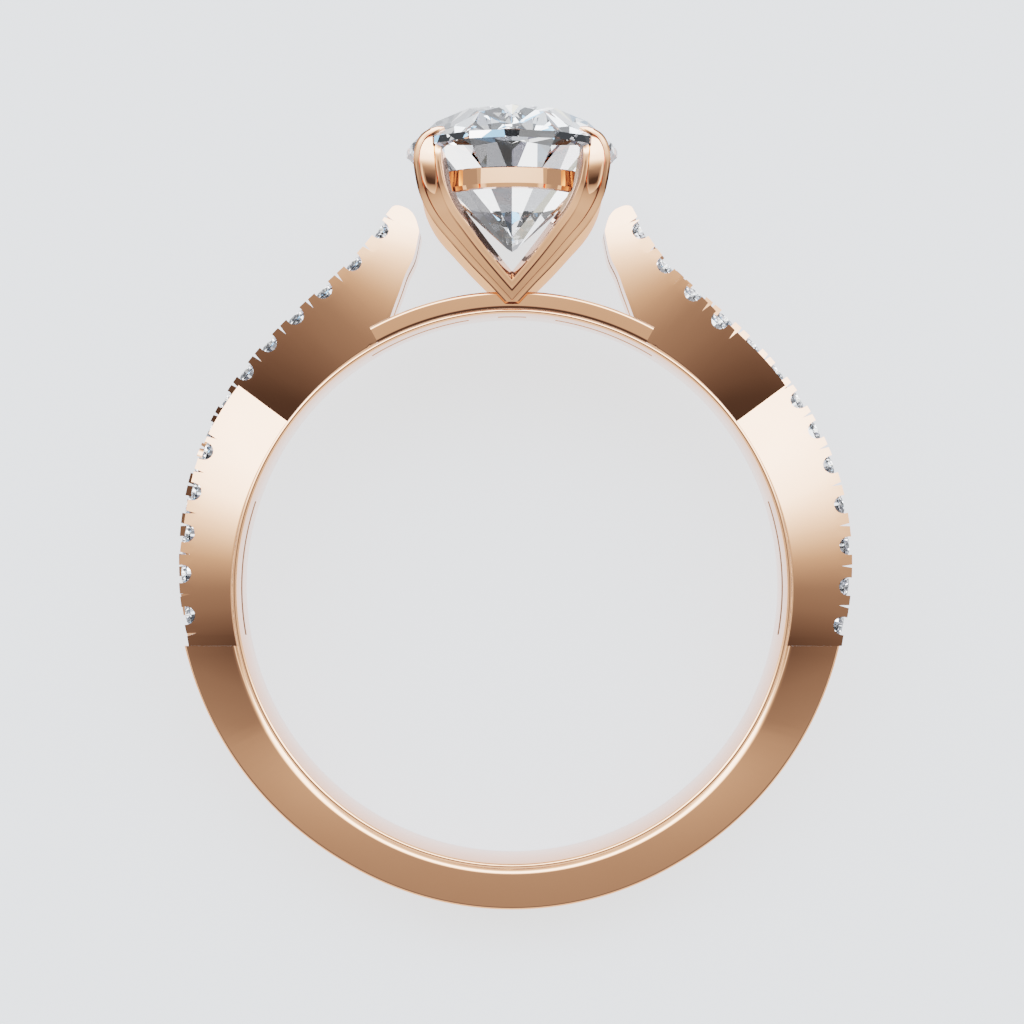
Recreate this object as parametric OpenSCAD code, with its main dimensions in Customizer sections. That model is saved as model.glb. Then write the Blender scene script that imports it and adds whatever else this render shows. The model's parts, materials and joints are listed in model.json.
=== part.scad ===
// Diamond ring: an oval stone in a four-claw V basket on a twisted pave shank.
// It is drawn in the ring's own frame: X across the finger hole, Y towards the
// stone, Z along the finger. rest() then lays it on its side, as it would lie.

/* [Finger hole] */
// Inside diameter of the ring
finger_d = 17.2; // [16.9:0.1:17.5]
// Wall of the inner sleeve
sleeve_wall = 0.22; // [0.2:0.01:0.25]
// Width of the inner sleeve along the finger
sleeve_w = 3.08; // [3:0.02:3.2]

/* [Twisted strands] */
// Width of one strand along the finger
strand_w = 1.2; // [1.16:0.02:1.24]
// How far a strand swings to either side of the middle
sway = 0.865; // [0.84:0.005:0.9]
// Angle from the stone to the place where the strands cross
cross_at = 53.5; // [53:0.5:54]
// Angle that one half swing takes
swing_span = 72; // [71:0.5:73]
// Radius of the strand tops beside the merge
strand_r = 10.37; // [10.3:0.01:10.45]
// How much higher the strand tops are round the crossing
strand_rise = 0.46; // [0.4:0.01:0.5]
// How much the tops rise again where the arms reach up beside the head
arm_rise = 1.55; // [1.5:0.01:1.6]
// Height difference between the crossing strand and the crossed one
over_step = 0.2; // [0.18:0.01:0.22]

/* [Lower shank] */
// Outer radius at the bottom
shank_r = 10.07; // [10.02:0.01:10.1]
// Extra outer radius where the strands merge into the shank
shank_flare = 0.34; // [0.32:0.01:0.36]
// Width of the shank where the strands merge
shank_top_w = 2.76; // [2.72:0.02:2.8]
// Width of the shank at the bottom
shank_low_w = 2.56; // [2.5:0.02:2.6]
// Height of the merge line below the middle of the finger hole
merge_drop = 1.8; // [1.75:0.01:1.85]

/* [Bridge under the head] */
// Outer radius of the bridge
bridge_r = 9.3; // [9.25:0.01:9.35]
// Angle from the stone to each end of the bridge
bridge_half = 28.6; // [28:0.1:29]
// Width of the bridge along the finger
bridge_w = 3; // [2.9:0.02:3.04]
// Width of the slot between the front and back halves
slot_w = 0.4; // [0.36:0.02:0.44]

/* [Centre stone] */
// Width of the oval stone
stone_w = 6.7; // [6.65:0.01:6.75]
// Length of the oval stone along the finger
stone_l = 9.3; // [9.25:0.01:9.35]
// Height of the girdle above the middle of the finger hole
girdle_y = 13.76; // [13.74:0.01:13.78]
// Thickness of the girdle
girdle_t = 0.22; // [0.2:0.01:0.24]
// Height of the crown above the girdle
crown_h = 1.07; // [1.04:0.01:1.1]
// Depth of the pavilion below the girdle
pavilion_h = 2.99; // [2.96:0.01:3.02]
// Width of the table as a share of the stone
table_share = 0.57; // [0.55:0.01:0.59]

/* [Pave stones] */
// Diameter of a pave stone
pave_d = 1; // [0.96:0.01:1.02]
// Moves all the pave stones this angle further down their strands
pave_shift = 0; // [-0.1:0.05:0.1]

/* [Claws and gallery rail] */
// Width of a claw bar across
claw_w = 0.8; // [0.76:0.02:0.84]
// Depth of a claw bar
claw_t = 0.74; // [0.7:0.02:0.78]
// Height of the gallery rail
rail_h = 0.62; // [0.58:0.02:0.66]
// Height of the rail's top edge above the middle of the finger hole
rail_top = 12.86; // [12.84:0.01:12.88]
// Thickness of the rail
rail_t = 0.36; // [0.34:0.01:0.38]

/* [Hidden] */
$fn = 96;
rose_gold = [0.82, 0.58, 0.45];
diamond = [0.9, 0.94, 0.97];

// Everything below keeps this gap between a stone and the metal
seat_gap = 0.04;
bore_r = finger_d / 2;
sleeve_r = bore_r + sleeve_wall;
// The strands and the bridge are rooted this far inside the sleeve's wall
root_r = bore_r + sleeve_wall / 2;
rim_r = sleeve_wall / 2;

// The ring lies on the sleeve's rim and on the lower edge of the stone's end
rest_tilt = atan((stone_l / 2 - sleeve_w / 2) / (girdle_y - girdle_t / 2 + root_r));
rest_lift = (sleeve_w / 2 - rim_r) * cos(rest_tilt) + root_r * sin(rest_tilt) + rim_r;
crown_top = girdle_y + girdle_t / 2 + crown_h;
rest_shift = ((shank_r - crown_top) * cos(rest_tilt)
    + (shank_low_w - table_share * stone_l) / 2 * sin(rest_tilt)) / 2;

module rest() {
    translate([0, rest_shift, rest_lift]) rotate([rest_tilt, 0, 0]) children();
}

// A place at an angle from the stone and a distance from the finger's middle
function place(phi, r, z) = [r * sin(phi), r * cos(phi), z];

// Sideways swing of a strand that starts on the front side of the arm
function swing(phi) = sway * sin(180 * (cross_at - phi) / swing_span);

// The arms lean back to the middle as they rise beside the head
dip_from = 8.3;
function dip(y) = let (rise = max(0, y - dip_from)) 0.014 * pow(rise, 2) + 0.0004 * pow(rise, 4);

// The crossed strand stands up at the arm's tip and sinks to both sides of the crossing
function bump(phi, at, spread) = exp(-pow((phi - at) / spread, 2));
function under_wave(phi) = 0.16 * bump(phi, 15, 7) - 0.1 * bump(phi, 40, 7) - 0.1 * bump(phi, 78, 7);

// Height of the strand tops, and the crossing strand is half a step higher
function strand_top(phi, over) =
    strand_r
    + strand_rise * sin(min(90, max(0, 2 * (98 - phi))))
    + arm_rise * exp((18 - phi) / 7.6)
    + (over ? 0.5 * over_step : under_wave(phi) - 0.5 * over_step);

// The free arm: columns are the inner edge's angle and radius, then the angle of
// the outer edge, whose radius is the strand's top less the last column
arm_rows = [
    [16.1, 12.44, 16.5, 0.25],
    [15.2, 12.2, 17.2, 0.12],
    [14.65, 11.75, 18.2, 0],
    [14.8, 11.3, 19.4, 0],
    [15.9, 10.95, 20.8, 0],
    [18, 10.52, 22.4, 0],
    [20.4, 10, 24.2, 0],
    [23.3, 9.44, 26.2, 0],
    [26.2, 8.97, 28.4, 0],
];
strand_step = 2.25;
strand_from = 30.25;
// The strand ends inside the lower shank: angles of its inner and outer corner
strand_end = [103, 99.8];

function arm_sections(over) = [for (row = arm_rows)
    [row[0], row[1], row[2], strand_top(row[2], over) - row[3]]];
function strand_root(over) = root_r + (over ? 0.3 : -0.3) * rim_r;
function bar_sections(over) = [for (phi = [strand_from + (over ? 0 : 0.45) * strand_step : strand_step : 98])
    [phi, strand_root(over), phi, strand_top(phi, over)]];
function end_section(over) =
    [[strand_end[0], strand_root(over), strand_end[1], strand_top(strand_end[1], over)]];

// One strand as a bar with straight radial sides, swept down from the arm's tip
module strand(lane, over) {
    rows = concat(arm_sections(over), bar_sections(over), end_section(over));
    n = len(rows);
    half = strand_w / 2;
    pts = [for (row = rows, corner = [0 : 3])
        let (
            inner = corner == 0 || corner == 3,
            phi = inner ? row[0] : row[2],
            r = inner ? row[1] : row[3],
            z = lane * (swing(phi) - dip(r * cos(phi))) + (corner < 2 ? -half : half)
        ) place(phi, r, z)];
    sides = [for (i = [0 : n - 2], j = [0 : 3])
        let (a = 4 * i + j, b = 4 * i + (j + 1) % 4)
        each [[a, a + 4, b], [b, a + 4, b + 4]]];
    last = 4 * (n - 1);
    caps = [[0, 1, 2], [0, 2, 3],
            [last, last + 2, last + 1], [last, last + 3, last + 2]];
    polyhedron(points = pts, faces = concat(caps, sides));
}

// Angle of each pave stone from the centre stone, down the strand that crosses
// over and down the one that passes under it, which is bare at the crossing
over_at = [20.5, 26.2, 32.4, 38.6, 44.9, 51, 56.8, 62.6, 68.9, 75.8, 82.8, 89.7, 96.5];
under_at = [20.1, 25.6, 31.6, 37.9, 66, 73.2, 80.4, 87.5, 94.8];
function stones(over) = [for (phi = over ? over_at : under_at) phi + pave_shift];

// Tilt of the strand's top against the round shank, at one stone
function top_lean(phi, over) =
    atan((strand_top(phi - 1, over) - strand_top(phi + 1, over))
         / (strand_top(phi, over) * 2 * PI / 180));

// Puts its children at a pave stone, with +Z pointing out of the strand's top
module at_stone(phi, lane, over) {
    top = strand_top(phi, over);
    translate(place(phi, top, lane * (swing(phi) - dip(top * cos(phi)))))
        rotate([0, 0, -phi - top_lean(phi, over)]) rotate([-90, 0, 0]) children();
}

pave_sink = 0.2;
pave_crown = 0.16;
pave_depth = 0.42;
pave_table = 0.55;
pave_sides = 12;
scallop_r = 0.325;
scallop_sink = 0.03;
seat_low = pave_sink + pave_depth + 0.1;

// The seat is drilled to the stone's shape, and a scallop opens it to both sides
module pave_seat() {
    r = pave_d / 2 + seat_gap;
    rotate_extrude($fn = 32) polygon([[0, -seat_low], [0.07, -seat_low],
        [r, -pave_sink - 0.05], [r, 0.4], [0, 0.4]]);
    translate([0, 0, -scallop_sink]) rotate([90, 0, 0])
        cylinder(r = scallop_r, h = strand_w + 0.1, center = true, $fn = 24);
}

module pave_seats(lane, over) {
    for (phi = stones(over)) at_stone(phi, lane, over) pave_seat();
}

// One small brilliant: table, crown facets, thin girdle and pavilion facets
module pave_stone() {
    r = pave_d / 2;
    translate([0, 0, -pave_sink]) {
        cylinder(r1 = r, r2 = pave_table * r, h = pave_crown, $fn = pave_sides);
        translate([0, 0, -0.04]) cylinder(r = r, h = 0.04, $fn = pave_sides);
        translate([0, 0, -0.04 - pave_depth])
            cylinder(r1 = 0, r2 = r, h = pave_depth, $fn = pave_sides);
    }
}

module pave_row(lane, over) {
    color(diamond) for (phi = stones(over)) at_stone(phi, lane, over) pave_stone();
}

// The left half is the right half turned round the stone's own axis
module on_left() {
    rotate([0, 180, 0]) children();
}

module sleeve() {
    flat = sleeve_w / 2 - rim_r;
    rotate_extrude() union() {
        translate([bore_r, -flat]) square([sleeve_wall, 2 * flat]);
        for (end = [-1, 1]) translate([bore_r + rim_r, end * flat]) circle(r = rim_r, $fn = 24);
    }
}

// A band of the ring between two angles from the stone
module band(from, to, r1, r2, w) {
    rotate([0, 0, 90 - to]) rotate_extrude(angle = to - from)
        translate([r1, -w / 2]) square([r2 - r1, w]);
}

edge_cut = 0.1;
module bridge() {
    rotate([0, 0, 90 - bridge_half]) rotate_extrude(angle = 2 * bridge_half)
        polygon([[root_r, -bridge_w / 2], [bridge_r - edge_cut, -bridge_w / 2],
            [bridge_r, -bridge_w / 2 + edge_cut], [bridge_r, bridge_w / 2 - edge_cut],
            [bridge_r - edge_cut, bridge_w / 2], [root_r, bridge_w / 2]]);
}

// The two halves of the ring are parted by slots, with bars under the claws
bar_angles = [3, 9.2];
arm_slot_end = 31.2;
side_slot = [71.5, 100.2];
module slots() {
    out = bridge_r + 0.2;
    band(-bar_angles[0], bar_angles[0], bore_r - 0.3, out, slot_w);
    for (side = [0, 1]) mirror([side, 0, 0]) {
        band(bar_angles[1], arm_slot_end, bore_r - 0.3, out, slot_w);
        band(side_slot[0], side_slot[1], bore_r - 0.3, sleeve_r + 0.2, slot_w);
    }
}

// Outer line of the lower shank: round, and flared towards the merge
flare_from = 150;
function shank_edge(phi) =
    shank_r + shank_flare * pow(max(0, (flare_from - phi) / (flare_from - 100)), 1.4);
// Half width of the shank at a height below the finger's middle
function shank_half(drop) =
    shank_low_w / 2 + (shank_top_w - shank_low_w) / 2
        * pow(max(0, (shank_r - drop) / (shank_r - merge_drop)), 7);

module lower_shank() {
    merge_phi = 90 + asin(merge_drop / shank_edge(100));
    right = [for (phi = [merge_phi : 4 : 179]) [shank_edge(phi) * sin(phi), shank_edge(phi) * cos(phi)]];
    left = [for (i = [len(right) - 1 : -1 : 0]) [-right[i][0], right[i][1]]];
    drops = [for (i = [0 : 8]) merge_drop + i * (shank_r + 0.1 - merge_drop) / 8];
    front = [for (d = drops) [-d, shank_half(d)]];
    back = [for (i = [8 : -1 : 0]) [-drops[i], -shank_half(drops[i])]];
    difference() {
        intersection() {
            linear_extrude(height = 4, center = true)
                polygon(concat(right, [[0, -shank_r]], left));
            rotate([0, 90, 0]) rotate([0, 0, 90]) linear_extrude(height = 24, center = true)
                polygon(concat(front, back));
        }
        cylinder(r = root_r, h = 6, center = true);
    }
}

// Middle line of the right front claw bar, from the V's foot to the claw's tip.
// Columns: x, y, z, width and depth as shares of the claw bar's
claw_rows = [
    [-0.12, 9.22, 1.72, 0.8, 0.9],
    [0.36, 9.74, 1.83, 0.82, 0.95],
    [0.92, 10.38, 1.98, 0.92, 1],
    [1.48, 11.04, 2.18, 1, 1],
    [2, 11.68, 2.42, 1.08, 1],
    [2.34, 12.28, 2.68, 1.12, 1],
    [2.5, 12.85, 2.88, 1.14, 1],
    [2.54, 13.3, 3, 1.1, 1],
    [2.53, 13.58, 3.03, 1, 0.96],
    [2.46, 13.79, 3.05, 0.85, 0.8],
    [2.33, 13.94, 3.06, 0.6, 0.56],
    [2.19, 14.05, 3.05, 0.38, 0.34],
];
claw_sides = 8;

function unit(v) = v / norm(v);
function claw_mid(i) = [claw_rows[i][0], claw_rows[i][1], claw_rows[i][2]];
function claw_along(i) = unit(claw_mid(min(i + 1, len(claw_rows) - 1)) - claw_mid(max(i - 1, 0)));

// One claw bar with a round-cornered section that faces away from the stone
module claw() {
    n = len(claw_rows);
    pts = [for (i = [0 : n - 1])
        let (
            along = claw_along(i),
            // outward from the stone, square to the bar
            away = unit([0.35, 0, 1] - ([0.35, 0, 1] * along) * along),
            across = cross(along, away),
            w = claw_w * claw_rows[i][3] / 2,
            t = claw_t * claw_rows[i][4] / 2
        )
        for (k = [0 : claw_sides - 1])
            let (a = 22.5 + k * 360 / claw_sides, corner = cos(22.5))
            claw_mid(i) + across * w * cos(a) / corner + away * t * sin(a) / corner];
    sides = [for (i = [0 : n - 2], k = [0 : claw_sides - 1])
        let (a = i * claw_sides + k, b = i * claw_sides + (k + 1) % claw_sides)
        each [[a, b, a + claw_sides], [b, b + claw_sides, a + claw_sides]]];
    foot = [for (k = [claw_sides - 1 : -1 : 0]) k];
    tip = [for (k = [0 : claw_sides - 1]) (n - 1) * claw_sides + k];
    polyhedron(points = pts, faces = concat(sides, [foot], [tip]));
}

module claws() {
    for (side = [0, 1], end = [0, 1]) mirror([side, 0, 0]) mirror([0, 0, end]) claw();
}

// The rail is an oval band that follows the pavilion, with a bevelled foot
rail_half = [2.8, 3.9];
rail_points = 40;
function oval(half, grow) = [for (i = [0 : rail_points - 1])
    [(half[0] + grow) * sin(i * 360 / rail_points), (half[1] + grow) * cos(i * 360 / rail_points)]];
module rail() {
    translate([0, rail_top, 0]) rotate([90, 0, 0]) linear_extrude(height = rail_h) difference() {
        polygon(oval(rail_half, 0));
        polygon(oval(rail_half, -rail_t));
    }
}

// Facets of the centre stone. Turns are measured from the end that points along
// the finger, and shares are parts of the half width and half length
star_share = 0.763;
front_pavilion_share = 0.174;
side_pavilion_share = 0.05;
girdle_facets = 16;

module oval_brilliant(grow) {
    rx = stone_w / 2 + grow;
    rz = stone_l / 2 + grow;
    g = girdle_t / 2 + grow / 2;
    crown = crown_h;
    deep = pavilion_h;
    star_mid = star_share * cos(22.5);
    star_h = g + crown * (1 - star_mid) / (1 - table_share);
    level = [g + crown, star_h, g, -g];
    spot = function (turn, share, h) [rx * share * sin(turn), h, rz * share * cos(turn)];
    table = [for (k = [0 : 7]) spot(45 * k, table_share, level[0])];
    star = [for (k = [0 : 7]) spot(45 * k + 22.5, star_share, level[1])];
    upper = [for (k = [0 : girdle_facets - 1]) spot(22.5 * k, 1, level[2])];
    lower = [for (k = [0 : girdle_facets - 1]) spot(22.5 * k, 1, level[3])];
    share = [front_pavilion_share, side_pavilion_share];
    inner = [for (k = [0 : 3]) spot(90 * k, share[k % 2], -g - deep * (1 - share[k % 2] * cos(45)))];
    culet = [[0, -g - deep, 0]];
    s = 8;
    u = 16;
    l = 32;
    p = 48;
    c = 52;
    faces = concat(
        [[for (k = [0 : 7]) 7 - k]],
        [for (k = [0 : 7]) [k, (k + 1) % 8, s + k]],
        [for (k = [0 : 7]) [s + (k + 7) % 8, k, s + k, u + 2 * k]],
        [for (k = [0 : 7]) each [
            [s + k, u + 2 * k + 1, u + 2 * k],
            [s + k, u + (2 * k + 2) % 16, u + 2 * k + 1]]],
        [for (k = [0 : 15]) [u + k, u + (k + 1) % 16, l + (k + 1) % 16, l + k]],
        [for (k = [0 : 3], j = [-2 : 1])
            [p + k, l + (4 * k + j + 16) % 16, l + (4 * k + j + 17) % 16]],
        [for (k = [0 : 3]) [c, p + k, l + (4 * k + 2) % 16, p + (k + 1) % 4]]);
    translate([0, girdle_y, 0])
        polyhedron(points = concat(table, star, upper, lower, inner, culet), faces = faces);
}

module both_sides() {
    for (half = [0, 1]) rotate([0, 180 * half, 0]) children();
}

module metal_body() {
    difference() {
        union() {
            sleeve();
            bridge();
        }
        slots();
    }
    lower_shank();
    both_sides() {
        strand(1, false);
        strand(-1, true);
    }
    claws();
    rail();
}

// Seats of the two strands meet beside the crossing, so they are cut in turn
module metal() {
    difference() {
        difference() {
            metal_body();
            oval_brilliant(seat_gap);
            both_sides() pave_seats(-1, true);
        }
        both_sides() pave_seats(1, false);
    }
}

module ring_mount() { color(rose_gold) rest() metal(); }
module centre_stone() { color(diamond) rest() oval_brilliant(0); }
module pave_left_over() { rest() on_left() pave_row(-1, true); }
module pave_left_under() { rest() on_left() pave_row(1, false); }
module pave_right_over() { rest() pave_row(-1, true); }
module pave_right_under() { rest() pave_row(1, false); }

ring_mount();
centre_stone();
pave_left_over();
pave_left_under();
pave_right_over();
pave_right_under();
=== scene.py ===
import json
import math
from bisect import bisect

import bmesh
import bpy
from mathutils import Matrix, Vector

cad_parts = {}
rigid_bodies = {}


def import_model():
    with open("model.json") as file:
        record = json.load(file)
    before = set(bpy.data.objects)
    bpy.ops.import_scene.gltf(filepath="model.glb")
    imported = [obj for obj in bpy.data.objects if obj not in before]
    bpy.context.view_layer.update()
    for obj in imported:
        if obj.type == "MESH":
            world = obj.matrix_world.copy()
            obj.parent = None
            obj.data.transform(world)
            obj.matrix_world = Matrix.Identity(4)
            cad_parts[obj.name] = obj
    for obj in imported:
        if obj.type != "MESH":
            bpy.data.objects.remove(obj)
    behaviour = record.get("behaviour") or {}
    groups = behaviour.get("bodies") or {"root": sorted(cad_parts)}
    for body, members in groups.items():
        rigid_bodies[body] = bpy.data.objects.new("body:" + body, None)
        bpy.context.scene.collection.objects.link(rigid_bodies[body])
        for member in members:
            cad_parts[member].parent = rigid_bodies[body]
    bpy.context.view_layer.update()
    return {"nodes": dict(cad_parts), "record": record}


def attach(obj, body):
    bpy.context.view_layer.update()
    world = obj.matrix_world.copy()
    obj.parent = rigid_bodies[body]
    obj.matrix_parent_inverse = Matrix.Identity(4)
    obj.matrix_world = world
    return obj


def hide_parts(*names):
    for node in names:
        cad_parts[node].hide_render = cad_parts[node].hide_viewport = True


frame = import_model()
print("frame loaded")

# Pieces are drawn in the ring's own millimetres: X across the finger hole, Y towards the
# centre stone and Z along the finger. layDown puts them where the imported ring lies.
# An angle of a place on the ring is in degrees from the centre stone.
hole = frame["record"]["mounts"][0]
holeAxis = Vector(hole["axis"])
tipBack = Matrix.Rotation(math.atan2(-holeAxis.y, holeAxis.z), 4, "X")
layDown = Matrix.Translation(hole["pos_m"]) @ tipBack @ Matrix.Scale(0.001, 4)
ringUp = tipBack @ Vector((0, 1, 0))

ring = {
    "boreRadius": hole["dims"]["r_mm"],
    "sleeveWall": 0.15,
    "sleeveWidth": 3.08,
    "rimSteps": 6,
    "turnSteps": 240,
    "weld": 1e-4,           # points nearer than this are merged
    "holdEdge": 0.015,      # strip beside a rounded edge that keeps the face next to it flat
    "rootRadius": 8.71,     # strands and bridge are rooted in the middle of the sleeve's wall
}


def place(angle, radius, along=0.0):
    turn = math.radians(angle)
    return Vector((radius * math.sin(turn), radius * math.cos(turn), along))


def glide(table, key):      # a smooth line through the rows of a short table
    spot = max(0, min(len(table) - 2, bisect([row[0] for row in table], key) - 1))
    low, high = table[spot], table[spot + 1]
    before, after = table[max(0, spot - 1)], table[min(len(table) - 1, spot + 2)]
    width = high[0] - low[0]
    t = (key - low[0]) / width
    values = []
    for i in range(1, len(low)):
        leave = (high[i] - before[i]) / (high[0] - before[0]) * width
        reach = (after[i] - low[i]) / (after[0] - low[0]) * width
        values.append(low[i] * (2 * t**3 - 3 * t**2 + 1) + leave * (t**3 - 2 * t**2 + t)
                      + high[i] * (3 * t**2 - 2 * t**3) + reach * (t**3 - t**2))
    return values


def sweepRows(rows, closed):    # a sheet, or a tube if its rows close, through rows of points
    bm = bmesh.new()
    line = [bm.verts.new(point) for point in rows[0]]
    following = line[1:] + line[:1] if closed else line[1:]
    edges = [bm.edges.new(pair) for pair in zip(line, following)]
    for row in rows[1:]:
        grown = bmesh.ops.extrude_edge_only(bm, edges=edges)["geom"]
        fresh = {part for part in grown if isinstance(part, bmesh.types.BMVert)}
        edges = [part for part in grown if isinstance(part, bmesh.types.BMEdge)
                 and part.verts[0] in fresh and part.verts[1] in fresh]
        moved = []
        for old, point in zip(line, row):
            new = next(edge.other_vert(old) for edge in old.link_edges
                       if edge.other_vert(old) in fresh)
            new.co = point
            moved.append(new)
        line = moved
    return bm


def closeEnds(bm):
    bmesh.ops.holes_fill(bm, edges=[edge for edge in bm.edges if edge.is_boundary], sides=0)


def toMesh(bm, name):
    mesh = bpy.data.meshes.new(name)
    bm.to_mesh(mesh)
    bm.free()
    return mesh


def cutAway(bm, cutters):       # takes the cutters' meshes out of a closed shape
    bmesh.ops.recalc_face_normals(bm, faces=bm.faces)
    mesh = toMesh(bm, "uncut")
    body = bpy.data.objects.new("uncut", mesh)
    bpy.context.scene.collection.objects.link(body)
    tools = []
    for cutter in cutters:
        tool = bpy.data.objects.new("cutter", cutter)
        bpy.context.scene.collection.objects.link(tool)
        cut = body.modifiers.new("cut", "BOOLEAN")
        cut.operation = "DIFFERENCE"
        cut.solver = "EXACT"
        cut.object = tool
        tools.append(tool)
    result = bmesh.new()
    result.from_object(body, bpy.context.evaluated_depsgraph_get())
    for spent in tools + [body]:
        bpy.data.objects.remove(spent)
    bpy.data.meshes.remove(mesh)
    return result


def stampAt(mesh, places):      # one mesh, repeated at each place
    bm = bmesh.new()
    for spot in places:
        old = len(bm.verts)
        bm.from_mesh(mesh)
        bm.verts.ensure_lookup_table()
        bmesh.ops.transform(bm, matrix=spot, verts=bm.verts[old:])
    return bm


def makePiece(name, bm, material, node, sharpAngle=35):
    bmesh.ops.remove_doubles(bm, verts=bm.verts, dist=ring["weld"])
    bmesh.ops.recalc_face_normals(bm, faces=bm.faces)
    bmesh.ops.transform(bm, matrix=layDown, verts=bm.verts)
    mesh = toMesh(bm, name)
    mesh.materials.append(material)
    if sharpAngle:
        mesh.shade_smooth()
        mesh.set_sharp_from_angle(angle=math.radians(sharpAngle))
    piece = bpy.data.objects.new(name, mesh)
    bpy.context.scene.collection.objects.link(piece)
    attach(piece, "root")
    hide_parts(node)


roseGold = {
    "colour": (0.93, 0.41, 0.222, 1),
    "secondColour": (0.9, 0.385, 0.205, 1),
    "roughness": (0.035, 0.06),
    "cloudScale": 900,      # per metre, so a cloud is about a millimetre
}
diamond = {
    "colour": (0.985, 0.99, 1, 1),
    "secondColour": (1, 0.995, 0.985, 1),
    "cloudScale": 600,
    "index": 2.42,
    "shine": 0.12,          # share of a facet's full mirror strength
    "facetScale": 6,        # patches of painted shade over the ways that facets can face
    # Painted shade: each facet is darkened by the way that it faces, standing in for the dark
    # reflections of a real stone
    "paintedFacetShades": [(0, (0.02, 0.02, 0.022, 1)), (0.18, (0.2, 0.2, 0.21, 1)),
                    (0.36, (0.6, 0.61, 0.62, 1)), (0.54, (1, 1, 1, 1))],
    "paintedShadeFades": (0.9, 0.95),  # a facet that faces the table's way this nearly has no painted shade
}


def startMaterial(name):
    material = bpy.data.materials.new(name)
    material.use_nodes = True
    nodes = material.node_tree.nodes
    return material, nodes, material.node_tree.links, nodes["Principled BSDF"]


def feed(links, socket, value):     # a link from another socket, or a plain value
    if isinstance(value, bpy.types.NodeSocket):
        links.new(value, socket)
    else:
        socket.default_value = value


def addMix(nodes, links, factor, first, second, blend="MIX"):
    mix = nodes.new("ShaderNodeMix")
    mix.data_type = "RGBA"
    mix.blend_type = blend
    for socket, value in ((0, factor), (6, first), (7, second)):
        feed(links, mix.inputs[socket], value)
    return mix.outputs[2]


def addMath(nodes, links, operation, *values):
    step = nodes.new("ShaderNodeMath")
    step.operation = operation
    for socket, value in zip(step.inputs, values):
        feed(links, socket, value)
    return step.outputs["Value"]


def addRange(nodes, links, value, old=(0, 1), new=(0, 1)):      # stretches a range of values
    stretch = nodes.new("ShaderNodeMapRange")
    names = ("From Min", "From Max", "To Min", "To Max")
    for name, limit in zip(names, old + new):
        stretch.inputs[name].default_value = limit
    links.new(value, stretch.inputs["Value"])
    return stretch.outputs["Result"]


def addHeight(nodes, links, way):   # part of a direction that points up the ring
    height = nodes.new("ShaderNodeVectorMath")
    height.operation = "DOT_PRODUCT"
    height.inputs[1].default_value = ringUp
    links.new(way, height.inputs[0])
    return height.outputs["Value"]


def addPatches(nodes, links, way, scale):   # a random colour for each patch of directions
    patches = nodes.new("ShaderNodeTexVoronoi")
    patches.inputs["Scale"].default_value = scale
    links.new(way, patches.inputs["Vector"])
    channels = nodes.new("ShaderNodeSeparateColor")
    links.new(patches.outputs["Color"], channels.inputs["Color"])
    return channels.outputs


def addRamp(nodes, links, value, stops, blend="CONSTANT"):
    ramp = nodes.new("ShaderNodeValToRGB")
    ramp.color_ramp.interpolation = blend
    elements = ramp.color_ramp.elements
    while len(elements) < len(stops):
        elements.new(0.5)
    for element, (position, colour) in zip(elements, stops):
        element.position = position
        element.color = colour
    links.new(value, ramp.inputs["Fac"])
    return ramp.outputs["Color"]


def makeCloudGroup():       # faint clouds of a second colour, for the gold and the diamond
    group = bpy.data.node_groups.new("colourClouds", "ShaderNodeTree")
    for name, kind in (("Scale", "NodeSocketFloat"), ("Colour", "NodeSocketColor"),
                       ("Second Colour", "NodeSocketColor")):
        group.interface.new_socket(name, in_out="INPUT", socket_type=kind)
    for name, kind in (("Colour", "NodeSocketColor"), ("Mask", "NodeSocketFloat")):
        group.interface.new_socket(name, in_out="OUTPUT", socket_type=kind)
    nodes, links = group.nodes, group.links
    given, put = nodes.new("NodeGroupInput"), nodes.new("NodeGroupOutput")
    coordinates = nodes.new("ShaderNodeTexCoord")
    clouds = nodes.new("ShaderNodeTexNoise")
    clouds.inputs["Detail"].default_value = 3
    links.new(coordinates.outputs["Object"], clouds.inputs["Vector"])
    links.new(given.outputs["Scale"], clouds.inputs["Scale"])
    mask = clouds.outputs["Fac"]
    links.new(addMix(nodes, links, mask, given.outputs["Colour"], given.outputs["Second Colour"]),
              put.inputs["Colour"])
    links.new(mask, put.inputs["Mask"])
    return group


def addClouds(nodes, finish):
    clouds = nodes.new("ShaderNodeGroup")
    clouds.node_tree = cloudGroup
    clouds.inputs["Scale"].default_value = finish["cloudScale"]
    clouds.inputs["Colour"].default_value = finish["colour"]
    clouds.inputs["Second Colour"].default_value = finish["secondColour"]
    return clouds.outputs


def makeRoseGold():
    material, nodes, links, shader = startMaterial("roseGoldPolish")
    clouds = addClouds(nodes, roseGold)
    links.new(clouds["Colour"], shader.inputs["Base Color"])
    links.new(addRange(nodes, links, clouds["Mask"], new=roseGold["roughness"]),
              shader.inputs["Roughness"])
    shader.inputs["Metallic"].default_value = 1
    return material


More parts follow.
